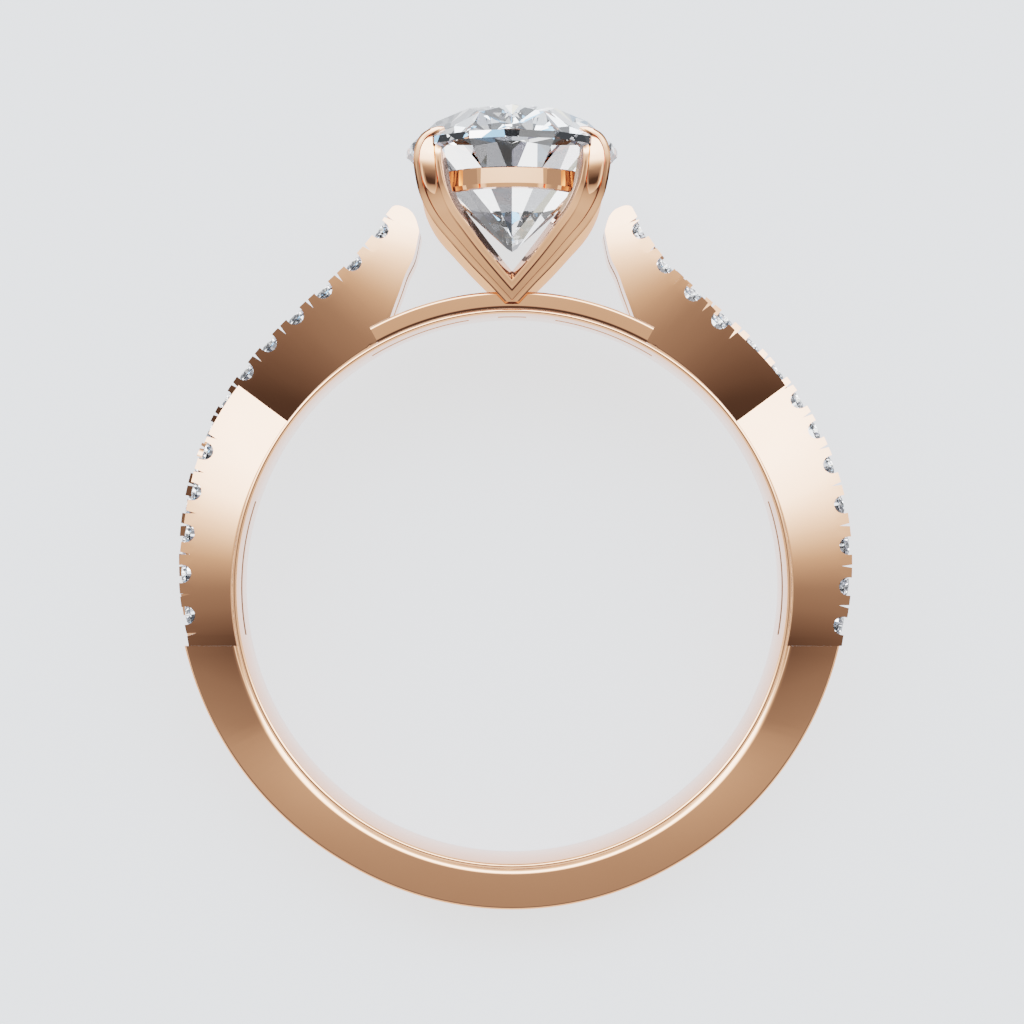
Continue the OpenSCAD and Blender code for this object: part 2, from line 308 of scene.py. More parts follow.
def makeDiamond():
    material, nodes, links, shader = startMaterial("diamondFacets")
    clouds = addClouds(nodes, diamond)
    # Painted shade: a dark or light tint for each way that a facet faces, multiplied into the
    # stone's colour; facets that face the table's way keep none
    facing = nodes.new("ShaderNodeNewGeometry").outputs["True Normal"]
    patches = addPatches(nodes, links, facing, diamond["facetScale"])
    facetPaintedShade = addRamp(nodes, links, patches["Red"], diamond["paintedFacetShades"])
    upright = addMath(nodes, links, "ABSOLUTE", addHeight(nodes, links, facing))
    strength = addRange(nodes, links, upright, diamond["paintedShadeFades"], (1, 0))
    links.new(addMix(nodes, links, strength, clouds["Colour"], facetPaintedShade, "MULTIPLY"),
              shader.inputs["Base Color"])
    shader.inputs["Roughness"].default_value = 0
    shader.inputs["Metallic"].default_value = 0
    shader.inputs["Transmission Weight"].default_value = 1
    shader.inputs["IOR"].default_value = diamond["index"]
    shader.inputs["Specular Tint"].default_value = (diamond["shine"],) * 3 + (1,)
    return material


cloudGroup = makeCloudGroup()
goldPolish = makeRoseGold()
stonePolish = makeDiamond()
print("materials made")

# The twisted strands
strand = {
    "width": 1.2,
    "sway": 0.865,          # swing to either side of the middle
    "crossAt": 53.5,
    "swingSpan": 72,
    "radius": 10.37,        # of the tops beside the merge
    "rise": 0.46,
    "armRise": 1.55,
    "step": 0.2,            # between the strand that crosses over and the one below
    # The lower strand stands up at the arm's tip and sinks to both sides of the crossing:
    # height, angle and spread of each bump
    "waves": [(0.16, 15, 7), (-0.1, 40, 7), (-0.1, 78, 7)],
    "riseEnd": 98,          # the tops rise towards the arms over the 45 degrees from here
    "armFrom": 18,          # an arm's own rise fades from here, to a third over armFade
    "armFade": 7.6,
    "mergeAt": 100,         # the merge's angle, and its drop below the finger's middle
    "mergeDrop": 1.8,
    "slideFrom": 90,        # the root slides ahead of the top from here, to reach the merge
    "slide": 0.019,
    "toothDepth": 0.47,     # of the toothed band along the top
    "innerRound": 0.06,     # radius of the rounded edge beside the sleeve
    "roundSteps": 4,
    "dipFrom": 8.3,         # the arms bend back to the middle above this height
    "dip": (0.014, 0.0004),
    # The round tip of an arm as angle and radius, up to the corner at its first notch
    "tipLine": [(16.0, 12.45), (16.5, 12.515), (17.0, 12.545), (17.45, 12.53)],
    # Inner edge of an arm: angle of the outer edge across from it, then x and y
    "armEdge": [
        (16.0, 3.24, 11.88),
        (16.55, 3.12, 11.76),
        (17.1, 3.03, 11.61),
        (17.6, 2.98, 11.47),
        (18.5, 2.91, 11.22),
        (20, 2.94, 11.0),
        (21.5, 3.0, 10.67),
        (23, 3.1, 10.3),
        (24.5, 3.32, 9.85),
        (26, 3.5, 9.33),
        (27.2, 3.66, 8.9),
        (28.4, 3.84, 8.4),
        (29.6, 4.08, 7.82),
        (30.8, 4.486, 7.524),
    ],
}
pave = {
    "overAt": [20.5, 26.2, 32.4, 38.6, 44.9, 51, 56.8, 62.6, 68.9, 75.8, 82.8, 89.7, 96.5],
    "underAt": [20.1, 25.6, 31.6, 37.9, 66, 73.2, 80.4, 87.5, 94.8],
    "bareFrom": 41.1,       # the lower strand has no stones where it is crossed
    "bareTo": 63.3,
    "tipNotch": 18.8,
    "overEnd": 99.2,        # last notch of the strand that crosses over
    "underEnd": 98.1,       # and of the one below
    "scallopHalf": 0.285,
    "scallopDepth": 0.385,
    "scallopSteps": 8,
    "notchHalf": 0.05,
    "notchDepth": 0.32,
    "notchFoot": 0.3,       # degrees from a notch to the foot of its edge
    "plainStep": 0.9,
}


def swingAt(angle):
    half = 180 * (strand["crossAt"] - angle) / strand["swingSpan"]
    return strand["sway"] * math.sin(math.radians(half))


def dipAt(y):
    rise = max(0, y - strand["dipFrom"])
    return strand["dip"][0] * rise ** 2 + strand["dip"][1] * rise ** 4


def roundDrop(radius, size):    # how far a rounded inner edge falls away at a radius
    short = min(size, max(0, ring["boreRadius"] + ring["sleeveWall"] + size - radius))
    return size - math.sqrt(size * size - short * short)


def roundSpots(size, steps):    # distances from the root to the rounded edge's rows
    spare = ring["boreRadius"] + ring["sleeveWall"] - ring["rootRadius"]
    spots = [spare + size * (1 - math.sin(math.pi / 2 * k / steps)) for k in range(steps + 1)]
    return [spots[0] + ring["holdEdge"]] + spots


def topAt(angle, over):
    climb = min(90, max(0, 2 * (strand["riseEnd"] - angle)))
    height = (strand["radius"] + strand["rise"] * math.sin(math.radians(climb))
              + strand["armRise"] * math.exp((strand["armFrom"] - angle) / strand["armFade"]))
    if over:
        return height + strand["step"] / 2
    waves = sum(size * math.exp(-((angle - at) / spread) ** 2)
                for size, at, spread in strand["waves"])
    return height - strand["step"] / 2 + waves


def leanAt(angle, over):    # tilt of the strand's top against the round shank
    return math.degrees(math.atan2(topAt(angle - 1, over) - topAt(angle + 1, over),
                                   topAt(angle, over) * math.radians(2)))


def topPoint(angle, over, down=0.0):
    outward = place(angle + leanAt(angle, over), 1)
    return place(angle, topAt(angle, over)) - outward * down


def besideTop(angle, over, side):       # a point of the top, a short way along the strand
    step = math.degrees(side / topAt(angle, over)) * math.cos(math.radians(leanAt(angle, over)))
    return topPoint(angle + step, over)


def scallopLine(angle, over):
    half, depth, steps = pave["scallopHalf"], pave["scallopDepth"], pave["scallopSteps"]
    lean = angle + leanAt(angle, over)
    outward, onward = place(lean, 1), place(lean + 90, 1)
    middle = place(angle, topAt(angle, over)) - outward * (depth - half)
    arc = [middle - onward * half * math.cos(turn) - outward * half * math.sin(turn)
           for turn in (math.pi * k / steps for k in range(steps + 1))]
    return [besideTop(angle, over, -half)] + arc + [besideTop(angle, over, half)]


def toothColumns(angles, over, first, last):
    # Each column is a point of the toothed outline, and the angle of the column's foot
    half, depth, foot = pave["notchHalf"], pave["notchDepth"], pave["notchFoot"]
    notches = [first] + [(a + b) / 2 for a, b in zip(angles, angles[1:])] + [last]
    columns = [(besideTop(first, over, -half), first - foot)]
    for stone, start, end in zip(angles, notches, notches[1:]):
        points = [topPoint(start, over, depth), besideTop(start, over, half)]
        points += scallopLine(stone, over) + [besideTop(end, over, -half)]
        columns += [(point, start + (end - start) * k / len(points))
                    for k, point in enumerate(points)]
    columns.append((topPoint(last, over, depth), last))
    columns.append((besideTop(last, over, half), last + foot))
    return columns


def plainColumns(start, end, over):
    count = math.ceil((end - start) / pave["plainStep"])
    angles = [start + (end - start) * k / count for k in range(1, count)]
    return [(topPoint(angle, over), angle) for angle in angles]


def innerPoint(angle):
    if angle < strand["armEdge"][-1][0]:
        return Vector(glide(strand["armEdge"], angle) + [0])
    slide = strand["slide"] * max(0, angle - strand["slideFrom"]) ** 2
    return place(angle + slide, ring["rootRadius"])


def drawStrand(lane, over):
    columns = [(place(angle, radius), angle) for angle, radius in strand["tipLine"]]
    notch = pave["tipNotch"]
    if over:
        columns += toothColumns(pave["overAt"], True, notch, pave["overEnd"])[:-2]
    else:
        bareFrom, bareTo = pave["bareFrom"], pave["bareTo"]
        upper = [angle for angle in pave["underAt"] if angle < bareFrom]
        lower = [angle for angle in pave["underAt"] if angle > bareTo]
        columns += toothColumns(upper, False, notch, bareFrom)
        columns += plainColumns(bareFrom + pave["notchFoot"], bareTo - pave["notchFoot"], False)
        columns += toothColumns(lower, False, bareTo, pave["underEnd"])
    outer, foot, inner = [], [], []
    for point, angle in columns:
        under = innerPoint(angle)
        top = point if angle < notch - pave["notchFoot"] else topPoint(angle, over)
        reach = (under - top).length
        outer.append(point)
        foot.append(top.lerp(under, min(strand["toothDepth"], reach / 2) / reach))
        inner.append(under)
    drop = strand["mergeDrop"]
    mergeX = [math.sqrt(radius * radius - drop * drop)
              for radius in (topAt(strand["mergeAt"], over), ring["rootRadius"])]
    outer.append(Vector((mergeX[0], -drop, 0)))
    foot.append(Vector((mergeX[0] - strand["toothDepth"], -drop, 0)))
    inner.append(Vector((mergeX[1], -drop, 0)))
    rows = [outer, foot]
    for spot in roundSpots(strand["innerRound"], strand["roundSteps"]):
        rows.append([low.lerp(high, spot / (high - low).length) for low, high in zip(inner, foot)])
    bm = sweepRows(rows + [inner], False)
    grown = bmesh.ops.extrude_face_region(bm, geom=bm.faces[:])["geom"]
    front = {part for part in grown if isinstance(part, bmesh.types.BMVert)}
    for vert in bm.verts:
        x, y = vert.co.x, vert.co.y
        middle = lane * (swingAt(math.degrees(math.atan2(x, y))) - dipAt(y))
        half = strand["width"] / 2 - roundDrop(math.hypot(x, y), strand["innerRound"])
        vert.co.z = middle + (half if vert in front else -half)
    return bm


def stonePlaces(lane, over):
    spots = []
    for angle in pave["overAt" if over else "underAt"]:
        top = place(angle, topAt(angle, over))
        top.z = lane * (swingAt(angle) - dipAt(top.y))
        spot = Matrix.Translation(top)
        spot @= Matrix.Rotation(-math.radians(angle + leanAt(angle, over)), 4, "Z")
        spots.append(spot @ Matrix.Rotation(-math.pi / 2, 4, "X"))
    return spots


# A seat is turned from its half outline, as radius and height over the strand's top
seat = {
    "line": [(0, -0.72), (0.07, -0.72), (0.54, -0.25), (0.54, 0.4), (0, 0.4)],
    "steps": 32,
}


def drawSeat():
    bm = bmesh.new()
    verts = [bm.verts.new((radius, 0, height)) for radius, height in seat["line"]]
    edges = [bm.edges.new(pair) for pair in zip(verts, verts[1:])]
    bmesh.ops.spin(bm, geom=verts + edges, cent=(0, 0, 0), axis=(0, 0, 1), dvec=(0, 0, 0),
                   angle=2 * math.pi, steps=seat["steps"], use_merge=True,
                   use_duplicate=False)
    bmesh.ops.remove_doubles(bm, verts=bm.verts, dist=ring["weld"])
    bmesh.ops.recalc_face_normals(bm, faces=bm.faces)
    return bm


# A small brilliant: heights are over the strand's top
smallStone = {
    "radius": 0.5,
    "girdle": -0.2,
    "girdleHeight": 0.04,
    "crown": 0.16,
    "depth": 0.42,
    "table": 0.56,          # shares of the radius
    "star": 0.79,
    "lower": 0.2,
    "starLift": 0.012,      # keeps the star facets' corners proud of the crown's cone
    "lowerDrop": 0.008,     # and the lower facets' corners proud of the pavilion's
}


def drawSmallStone():
    cut = smallStone
    bm = bmesh.new()
    belt = cut["girdle"] - cut["girdleHeight"]
    crownSlope = cut["crown"] / (1 - cut["table"])
    rings = [
        (8, 0, cut["table"], cut["girdle"] + cut["crown"]),
        (8, 0.5, cut["star"],
         cut["girdle"] + crownSlope * (1 - cut["star"]) + cut["starLift"]),
        (16, 0, 1, cut["girdle"]),
        (16, 0, 1, belt),
        (8, 0, cut["lower"], belt - cut["depth"] * (1 - cut["lower"]) - cut["lowerDrop"]),
    ]
    for count, turn, share, height in rings:
        for k in range(count):
            angle = math.radians((k + turn) * 360 / count)
            bm.verts.new((cut["radius"] * share * math.cos(angle),
                          cut["radius"] * share * math.sin(angle), height))
    bm.verts.new((0, 0, belt - cut["depth"]))
    bmesh.ops.convex_hull(bm, input=bm.verts)
    return bm


seatMesh = toMesh(drawSeat(), "seat")
stoneMesh = toMesh(drawSmallStone(), "smallStone")
onLeft = Matrix.Rotation(math.pi, 4, "Y")
lanes = {"Over": (-1, True), "Under": (1, False)}
seatCutters = [toMesh(stampAt(seatMesh, stonePlaces(*lanes[key])), "seats") for key in lanes]
for key, (lane, over) in lanes.items():
    for side in ("Right", "Left"):
        metal = cutAway(drawStrand(lane, over), seatCutters)
        stones = stampAt(stoneMesh, stonePlaces(lane, over))
        if side == "Left":
            bmesh.ops.transform(metal, matrix=onLeft, verts=metal.verts)
            bmesh.ops.transform(stones, matrix=onLeft, verts=stones.verts)
        makePiece("strand" + side + key, metal, goldPolish, "ring_mount")
        makePiece("pave" + side + key, stones, stonePolish,
                  "pave_" + side.lower() + "_" + key.lower(), sharpAngle=0)
print("strands and pave made")

# The sleeve round the finger, the bridge under the head and the slots through both
bridge = {
    "radius": 9.3,
    "width": 3.0,
    "halfAngle": 28.6,
    "fillet": 0.09,
    "innerBevel": 0.075,    # radial size of the bevel beside the sleeve, and its fall
    "innerFall": 0.018,
    "filletSteps": 6,
    "turnSteps": 48,
}
slotCut = {
    "width": 0.4,
    "spans": [(-3, 3), (9.2, 31.2), (-31.2, -9.2)],     # through the sleeve and the bridge
    "sideSpans": [(71.5, 100.2), (-100.2, -71.5)],      # through the sleeve alone
    "low": 8.4,             # the cutters' radii
    "sleeveHigh": 9.0,
    "bridgeHigh": 9.6,
    "stepAngle": 2,
}


def turnBand(outline, start, end, steps, full=False):
    # Turns a closed outline of (radius, along) from one angle to the other
    points = [place(start, radius, along) for radius, along in outline]
    bm = bmesh.new()
    verts = [bm.verts.new(point) for point in points]
    edges = [bm.edges.new(pair) for pair in zip(verts, verts[1:] + verts[:1])]
    bmesh.ops.spin(bm, geom=verts + edges, cent=(0, 0, 0), axis=(0, 0, 1), dvec=(0, 0, 0),
                   angle=-math.radians(end - start), steps=steps, use_merge=full,
                   use_duplicate=False)
    bmesh.ops.remove_doubles(bm, verts=bm.verts, dist=ring["weld"])
    if not full:
        closeEnds(bm)
    bmesh.ops.recalc_face_normals(bm, faces=bm.faces)
    return bm


def roundCorner(radius, along, size, start, steps):
    # Points of a fillet round a centre, from a start angle over a quarter turn
    return [(radius + size * math.cos(math.radians(start + 90 * k / steps)),
             along + size * math.sin(math.radians(start + 90 * k / steps)))
            for k in range(steps + 1)]


def drawSleeve():
    rim, steps = ring["sleeveWall"] / 2, ring["rimSteps"]
    flat = ring["sleeveWidth"] / 2 - rim
    middle = ring["boreRadius"] + rim
    outline = []
    for end, start in ((flat, 0), (-flat, 180)):
        outline += roundCorner(middle, end, rim, start, steps)
        outline += roundCorner(middle, end, rim, start + 90, steps)[1:]
    return turnBand(outline, 0, 360, ring["turnSteps"], True)


def drawBridge():
    size, steps = bridge["fillet"], bridge["filletSteps"]
    wide = bridge["width"] / 2
    far, near = bridge["radius"] - size, ring["boreRadius"] + ring["sleeveWall"]
    bevel, fall, hold = bridge["innerBevel"], bridge["innerFall"], ring["holdEdge"]
    outline = [(ring["rootRadius"], wide - fall), (near, wide - fall),
               (near + bevel - hold, wide - fall * hold / bevel), (near + bevel, wide),
               (near + bevel + hold, wide), (far - hold, wide)]
    outline += roundCorner(far, wide - size, size, 0, steps)[::-1]
    outline += [(radius, -along) for radius, along in reversed(outline)]
    return turnBand(outline, -bridge["halfAngle"], bridge["halfAngle"], bridge["turnSteps"])


def slotMesh(spans, high):
    low, half = slotCut["low"], slotCut["width"] / 2
    outline = [(low, -half), (high, -half), (high, half), (low, half)]
    bm = bmesh.new()
    for start, end in spans:
        steps = math.ceil((end - start) / slotCut["stepAngle"])
        bm.from_mesh(toMesh(turnBand(outline, start, end, steps), "slot"))
    return toMesh(bm, "slots")


sleeveSlots = slotMesh(slotCut["spans"] + slotCut["sideSpans"], slotCut["sleeveHigh"])
bridgeSlots = slotMesh(slotCut["spans"], slotCut["bridgeHigh"])
makePiece("sleeve", cutAway(drawSleeve(), [sleeveSlots]), goldPolish, "ring_mount")
makePiece("bridge", cutAway(drawBridge(), [bridgeSlots]), goldPolish, "ring_mount")
print("sleeve and bridge made")

# The plain lower shank
shank = {
    "radius": 10.07,
    "flare": 0.34,
    "flareFrom": 150,
    "flareTo": 100,
    "flarePower": 1.4,
    "slantOver": 0.25,      # share of the shank over which its rows lose the merge's slant
    "topWidth": 2.752,
    "lowWidth": 2.59,
    "narrowing": 7,         # power of the narrowing below the merge
    "dish": 0.07,           # slope of the front and back towards the finger
    "dishOver": 2.5,        # fall below the merge in which the slope comes up
    "swell": 0.05,          # more slope on both sides of the bottom, at this depth
    "swellAt": 4.9,
    "swellSpread": 2.3,
    "innerRound": 0.21,
    "outerRound": 0.08,
    "roundSteps": 6,
    "rows": 90,
}


def shankEdge(angle):
    below = min(angle, 360 - angle)
    climb = max(0, (shank["flareFrom"] - below) / (shank["flareFrom"] - shank["flareTo"]))
    return shank["radius"] + shank["flare"] * climb ** shank["flarePower"]


def shankHalf(drop):
    share = max(0, (shank["radius"] - drop) / (shank["radius"] - strand["mergeDrop"]))
    wider = (shank["topWidth"] - shank["lowWidth"]) * share ** shank["narrowing"]
    return (shank["lowWidth"] + wider) / 2


def shankDish(y, radius):       # how far the front falls or rises towards the finger
    rise = (-y - strand["mergeDrop"]) / shank["dishOver"]
    swell = math.exp(-((y + shank["swellAt"]) / shank["swellSpread"]) ** 2)
    slope = shank["dish"] * min(1, max(0, rise)) + shank["swell"] * swell
    return slope * (radius - shank["radius"])


def drawShank():
    drop, size, steps = strand["mergeDrop"], shank["outerRound"], shank["roundSteps"]
    rootStart, start = (90 + math.degrees(math.asin(drop / radius))
                        for radius in (ring["rootRadius"], shankEdge(shank["flareTo"])))
    spots = [0] + roundSpots(shank["innerRound"], steps)[::-1]
    ends = [-ring["holdEdge"]] + [size * math.sin(math.pi / 2 * k / steps)
                                  for k in range(steps + 1)]
    rows = []
    for row in range(shank["rows"] + 1):
        share = row / shank["rows"]
        outer = start + (360 - 2 * start) * share
        slant = max(0, 1 - min(share, 1 - share) / shank["slantOver"])
        ahead = math.copysign(slant, 0.5 - share)
        near = place(outer + (rootStart - start) * ahead, ring["rootRadius"])
        far = place(outer, shankEdge(outer))
        length = (far - near).length
        side = []
        for spot in spots + [length - size + end for end in ends]:
            point = near.lerp(far, spot / length)
            radius = math.hypot(point.x, point.y)
            over = max(0, spot - length + size)
            point.z = (shankHalf(-point.y) - roundDrop(radius, shank["innerRound"])
                       + shankDish(point.y, radius)
                       - size + math.sqrt(max(0, size * size - over * over)))
            side.append(point)
        rows.append(side + [Vector((point.x, point.y, -point.z)) for point in reversed(side)])
    bm = sweepRows(rows, True)
    closeEnds(bm)
    return bm


makePiece("lowerShank", drawShank(), goldPolish, "ring_mount")
print("lower shank made")

# The claw bars, two of which meet in a V at each end of the stone
claw = {
    "width": 0.8,
    "depth": 0.74,
    "rows": 112,
    "lean": (0.3, -0.25, 1),    # way that a bar faces, before it is squared to the bar
    "look": 0.1,                # millimetres to both sides that show a bar's direction
    # Half of a bar's back: shares of its width across it, and of its depth away from the stone
    "back": [(0.2, -0.5), (0.42, -0.44), (0.5, -0.3)],
    "ridgeArch": 0.003,
    "ridgeSteps": 4,
    "rim": 0.045,               # strip that rises along each edge, as a share of the width
    "rimRise": 0.01,
    "channelTilt": 0.07,        # slope of the channel's floor towards the stone's side
    "creases": [(0, 0.02), (0.03, 0.0115), (0.07, 0), (0.085, 0)],  # crease beside the ridge
    "footAt": (0, 8.92, 1.95),  # place and way of the cut under the V
    "footWay": (0, 1, 0.15),
    # Rows along a bar: x, y and z of its middle, its width and depth as shares, heights of the
    # ridges and of the channel over its middle, and the channel's half width as a share
    "line": [
        (-0.33, 8.95, 1.68, 0.79, 0.88, 0.33, 0.28, 0.2),
        (0.38, 9.74, 1.83, 0.82, 0.95, 0.35, 0.3, 0.2),
        (0.95, 10.38, 1.99, 0.92, 1, 0.36, 0.31, 0.2),
        (1.5, 11.04, 2.2, 1, 1, 0.36, 0.31, 0.21),
        (2.0, 11.68, 2.45, 1.07, 1, 0.37, 0.3, 0.24),
        (2.32, 12.34, 2.74, 1.12, 1, 0.37, 0.26, 0.28),
        (2.48, 13.0, 2.94, 1.12, 1, 0.32, 0.15, 0.3),
        (2.51, 13.3, 3.0, 1.1, 1, 0.27, 0.06, 0.3),
        (2.51, 13.55, 3.03, 1.02, 0.97, 0.22, 0, 0.28),
        (2.45, 13.76, 3.05, 0.88, 0.83, 0.17, 0, 0.25),
        (2.32, 13.94, 3.06, 0.6, 0.56, 0.13, 0.06, 0.2),
        (2.19, 14.05, 3.05, 0.38, 0.34, 0.09, 0.07, 0.2),
        (2.07, 14.13, 3.02, 0.14, 0.16, 0.04, 0.04, 0.2),
    ],
}
# The drop shape in the channel
clawDrop = {
    "tilt": 0.24,               # slope of the drops, which face straight ahead
    "arch": 0.05,
    "archPower": 2.5,
    "shares": (0.92, 0.75, 0.5, 0.25, 0.08),    # points of the arch, of the half width
    "half": 0.25,               # half width at which the arch has its full height
    "sunk": 0.4,                # depth of a drop's foot below its top
    "rows": 40,
    # Millimetres along the bar, half width and height
    "line": [
        (4.4, 0.02, 0.34),
        (4.5, 0.09, 0.385),
        (4.64, 0.155, 0.4),
        (4.8, 0.205, 0.392),
        (4.94, 0.23, 0.38),
        (5.07, 0.245, 0.362),
        (5.2, 0.25, 0.333),
        (5.33, 0.25, 0.298),
        (5.48, 0.245, 0.255),
        (5.68, 0.225, 0.2),
        (5.88, 0.18, 0.145),
        (6.02, 0.11, 0.1),
        (6.1, 0.03, 0.06),
    ],
}


def addLengths(rows):       # puts the distance along the line of rows in front of each row
    run, line = 0, []
    for before, row in zip([rows[0]] + rows, rows):
        run += math.dist(before[:3], row[:3])
        line.append((run,) + row)
    return line


clawLine = addLengths(claw["line"])


def clawSpot(key):          # middle of a bar, and the ways across it and away from the stone
    last, look = clawLine[-1][0], claw["look"]
    ahead = Vector(glide(clawLine, min(last, key + look))[:3])
    behind = Vector(glide(clawLine, max(0, key - look))[:3])
    along = (ahead - behind).normalized()
    away = Vector(claw["lean"])
    away = (away - along * away.dot(along)).normalized()
    return Vector(glide(clawLine, key)[:3]), along.cross(away), away


def barSection(width, depth, ridge, middle, channel):
    # Points round a bar, across it and away from the stone, starting at the back
    wide, thick = claw["width"] * width, claw["depth"] * depth
    half = [(across, away * thick) for across, away in claw["back"]]
    half.append((0.5, ridge + claw["rimRise"]))
    side, steps = 0.5 - claw["rim"], claw["ridgeSteps"]
    half += [(side - (side - channel) * k / steps,
              ridge - claw["ridgeArch"] * (2 * k / steps - 1) ** 2) for k in range(steps + 1)]
    outer = [(across * wide, away) for across, away in half]
    inner = [(-across, away) for across, away in reversed(outer)]
    floor = [(channel * wide, 0)]
    floor += [(across - channel * wide, fall) for across, fall in reversed(claw["creases"])]
    return outer + [(across, middle + claw["channelTilt"] * across - fall)
                    for across, fall in floor] + inner


def dropSection(half, top):
    arch = clawDrop["arch"] * half / clawDrop["half"]
    side = [(half, top - clawDrop["sunk"]), (half, top - arch)]
    side += [(half * share, top - arch * share ** clawDrop["archPower"])
             for share in clawDrop["shares"]]
    side += [(-across, away) for across, away in reversed(side)]
    return [(across, away + clawDrop["tilt"] * across) for across, away in side]


def sweepBar(table, section, count):
    rows = []
    first, last = table[0][0], table[-1][0]
    for k in range(count + 1):
        key = first + (last - first) * k / count
        middle, across, away = clawSpot(key)
        rows.append([middle + across * u + away * v for u, v in section(glide(table, key))])
    bm = sweepRows(rows, True)
    closeEnds(bm)
    bmesh.ops.recalc_face_normals(bm, faces=bm.faces)
    return bm


def keepBeyond(bm, spot, way):
    bmesh.ops.bisect_plane(bm, geom=bm.verts[:] + bm.edges[:] + bm.faces[:], dist=1e-5,
                           plane_co=spot, plane_no=way, clear_inner=True)


def drawClaws():
    bm = sweepBar(clawLine, lambda row: barSection(*row[3:]), claw["rows"])
    drops = sweepBar(clawDrop["line"], lambda row: dropSection(*row), clawDrop["rows"])
    bm.from_mesh(toMesh(drops, "drop"))
    keepBeyond(bm, claw["footAt"], claw["footWay"])
    closeEnds(bm)
    keepBeyond(bm, (0, 0, 0), (1, 0, 0))
    bmesh.ops.mirror(bm, geom=bm.verts[:] + bm.edges[:] + bm.faces[:], axis="X",
                     merge_dist=ring["weld"])
    return bm


for name, turn in (("frontClaws", 0), ("backClaws", math.pi)):
    bars = drawClaws()
    bmesh.ops.transform(bars, matrix=Matrix.Rotation(turn, 4, "Y"), verts=bars.verts)
    makePiece(name, bars, goldPolish, "ring_mount")
print("claws made")

# The oval gallery rail
rail = {
    "halfWidth": 2.8,
    "halfLength": 3.9,
    "top": 12.86,
    "faceHeight": 0.5,
    "height": 0.62,
    "thick": 0.36,
    "topBevel": 0.03,
    "footSlant": 0.05,
    "crease": 1.07,         # sideways place of the upright creases at the front and back
    "leans": (-2.5, 7),     # of the face between the creases, and beyond them, in degrees
    "points": 128,
}


def drawRail():
    top, thick, bevel = rail["top"], rail["thick"], rail["topBevel"]
    foot = top - rail["height"]
    rows = []
    for k in range(rail["points"] + 1):
        turn = 2 * math.pi * k / rail["points"]
        between = abs(rail["halfWidth"] * math.sin(turn)) < rail["crease"]
        lean = rail["leans"][0 if between else 1]
        inset = rail["faceHeight"] * math.tan(math.radians(lean))
        line = [(0, top - bevel), (inset, top - rail["faceHeight"]),
                (inset + rail["footSlant"], foot), (thick, foot), (thick, top), (bevel, top)]
        rows.append([Vector(((rail["halfWidth"] - step) * math.sin(turn), height,
                             (rail["halfLength"] - step) * math.cos(turn)))
                     for step, height in line])
    return sweepRows(rows, True)


makePiece("galleryRail", drawRail(), goldPolish, "ring_mount", sharpAngle=8)
print("rail made")

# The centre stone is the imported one, with the diamond finish
centreStone = frame["nodes"]["centre_stone"]
centreStone.data.materials.clear()
centreStone.data.materials.append(stonePolish)

# Floor, light and camera
studio = {
    "paper": 1.9,           # brightness that the pale backdrop is seen at
    "floorColour": (0.6, 0.6, 0.6, 1),
    "floorRoughness": 0.9,
    "floorSize": 3.0,
    "floorGlow": 0.75,      # share of the floor that shows plain paper
    # Light against height in the ring's own upright direction, as powers of two
    "lightLine": [(-1, 0.9), (-0.8, 0.5), (-0.65, 0.2), (-0.55, -0.1), (-0.46, -0.7), (-0.43, -1.1),
                  (-0.4, -2.2), (-0.36, -4), (-0.285, -3.7), (-0.25, -2.95), (-0.2, -2.33),
                  (-0.13, -1.68), (-0.04, -1.25), (0.03, -0.51), (0.3, 2.26), (0.38, 2.63),
                  (0.62, 2.7), (0.8, 1), (1, 0.3)],
    "lightRange": (-5, 3),
    # Light from both sides against the sideways part of the direction
    "sideLine": [(0, -5), (0.4, -5), (0.48, -0.8), (0.58, -0.8), (0.66, 1), (0.78, 1), (0.86, -0.7),
                 (1, -0.7)],
    "coolRange": (0, 2.6),  # light turns cool between these powers of two
    "coolLight": (1, 1.32, 1.72, 1),
    # Light that comes through a stone: levels of its patches, and their rare tints
    "patchScale": 1.8,
    "patchTop": 8,          # no level is over this
    "patchLevels": [(0, 0.03), (0.18, 0.25), (0.36, 0.9), (0.54, 1.9), (0.76, 3), (0.9, 6)],
    "patchTints": [(0, (0.88, 0.94, 1, 1)), (0.15, (1, 1, 1, 1)), (0.55, (0.96, 0.98, 1, 1)),
                   (0.82, (0.85, 0.82, 0.68, 1)), (0.88, (0.8, 0.8, 1, 1)),
                   (0.96, (0.35, 0.65, 1, 1))],
    "bounces": 24,
    "stoneBounces": 20,
    "mirrorBounces": 10,
}
camera = {
    "focal": 2514,              # in pixels of a picture of this width
    "pictureWidth": 1024,
    "place": (0, 2.39, 80),     # in the ring's own millimetres
    "nearest": 0.001,
}


def addEither(nodes, links, share, first, second):      # a mix of two shaders
    mix = nodes.new("ShaderNodeMixShader")
    for socket, value in zip(mix.inputs, (share, first, second)):
        feed(links, socket, value)
    return mix.outputs[0]


def makeFloor():
    bm = bmesh.new()
    bmesh.ops.create_grid(bm, x_segments=1, y_segments=1, size=studio["floorSize"] / 2)
    floor = bpy.data.objects.new("floor", toMesh(bm, "floor"))
    bpy.context.scene.collection.objects.link(floor)
    material, nodes, links, shader = startMaterial("paperFloor")
    shader.inputs["Roughness"].default_value = studio["floorRoughness"]
    shader.inputs["Base Color"].default_value = studio["floorColour"]
    glow = nodes.new("ShaderNodeEmission")
    glow.inputs["Strength"].default_value = studio["paper"]
    links.new(addEither(nodes, links, studio["floorGlow"], shader.outputs[0], glow.outputs[0]),
              nodes["Material Output"].inputs["Surface"])
    floor.data.materials.append(material)
    floor.visible_transmission = False


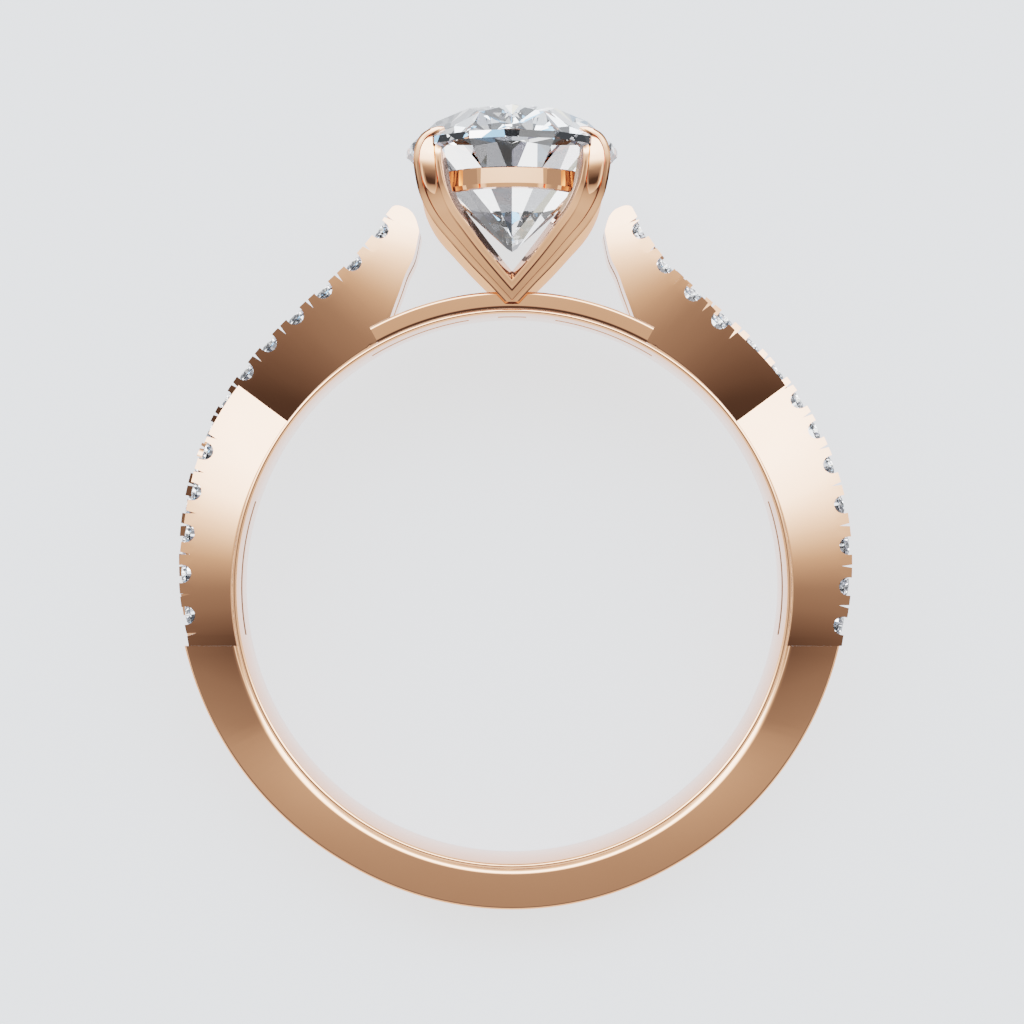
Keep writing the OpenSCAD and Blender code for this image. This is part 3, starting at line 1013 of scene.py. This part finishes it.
def addPowerLine(nodes, links, value, line):    # turns a value into light by a table
    low, high = studio["lightRange"]
    stops = [(spot, ((light - low) / (high - low),) * 3 + (1,)) for spot, light in line]
    return addRange(nodes, links, addRamp(nodes, links, value, stops, "LINEAR"),
                    new=studio["lightRange"])


def addBackground(nodes, links, colour, strength):
    background = nodes.new("ShaderNodeBackground")
    feed(links, background.inputs["Color"], colour)
    feed(links, background.inputs["Strength"], strength)
    return background.outputs[0]


def makeStudioLight(nodes, links, way):     # what the metal mirrors
    height = addRange(nodes, links, addHeight(nodes, links, way), old=(-1, 1))
    upright = addPowerLine(nodes, links, height,
                           [((level + 1) / 2, light) for level, light in studio["lightLine"]])
    parts = nodes.new("ShaderNodeSeparateXYZ")
    links.new(way, parts.inputs["Vector"])
    sideways = addMath(nodes, links, "ABSOLUTE", parts.outputs["X"])
    side = addPowerLine(nodes, links, sideways, studio["sideLine"])
    brighter = addMath(nodes, links, "MAXIMUM", upright, side)
    cool = addRange(nodes, links, brighter, old=studio["coolRange"])
    return addBackground(nodes, links,
                         addMix(nodes, links, cool, (1, 1, 1, 1), studio["coolLight"]),
                         addMath(nodes, links, "POWER", 2, brighter))


def makeSparkle(nodes, links, way):         # what comes through a stone
    patches = addPatches(nodes, links, way, studio["patchScale"])
    top = studio["patchTop"]
    level = addRamp(nodes, links, patches["Red"],
                    [(spot, (value / top,) * 3 + (1,)) for spot, value in studio["patchLevels"]])
    tint = addRamp(nodes, links, patches["Green"], studio["patchTints"])
    return addBackground(nodes, links, tint, addMath(nodes, links, "MULTIPLY", level, top))


def makeWorld():
    world = bpy.data.worlds.new("studioLight")
    bpy.context.scene.world = world
    world.use_nodes = True
    nodes, links = world.node_tree.nodes, world.node_tree.links
    nodes.clear()
    way = nodes.new("ShaderNodeTexCoord").outputs["Generated"]
    seen = nodes.new("ShaderNodeLightPath").outputs
    paper = addBackground(nodes, links, (1, 1, 1, 1), studio["paper"])
    lit = addEither(nodes, links, seen["Is Transmission Ray"],
                    makeStudioLight(nodes, links, way), makeSparkle(nodes, links, way))
    output = nodes.new("ShaderNodeOutputWorld")
    links.new(addEither(nodes, links, seen["Is Camera Ray"], lit, paper),
              output.inputs["Surface"])


def makeCamera():
    data = bpy.data.cameras.new("camera")
    data.lens = camera["focal"] / camera["pictureWidth"] * data.sensor_width
    data.clip_start = camera["nearest"]
    eye = bpy.data.objects.new("camera", data)
    bpy.context.scene.collection.objects.link(eye)
    eye.matrix_world = Matrix.Translation(layDown @ Vector(camera["place"])) @ tipBack
    bpy.context.scene.camera = eye


makeFloor()
makeWorld()
makeCamera()
view = bpy.context.scene.view_settings
view.view_transform = "Filmic"
view.look = "None"
for piece in bpy.data.objects:
    if piece.type == "MESH" and goldPolish in list(piece.data.materials):
        piece.visible_transmission = False              # keeps gold out of the stones' facets
        piece.visible_glossy = "Claws" in piece.name    # gold mirrors the claws and the studio
bpy.context.scene.cycles.max_bounces = studio["bounces"]
bpy.context.scene.cycles.transmission_bounces = studio["stoneBounces"]
bpy.context.scene.cycles.glossy_bounces = studio["mirrorBounces"]
print("studio made")
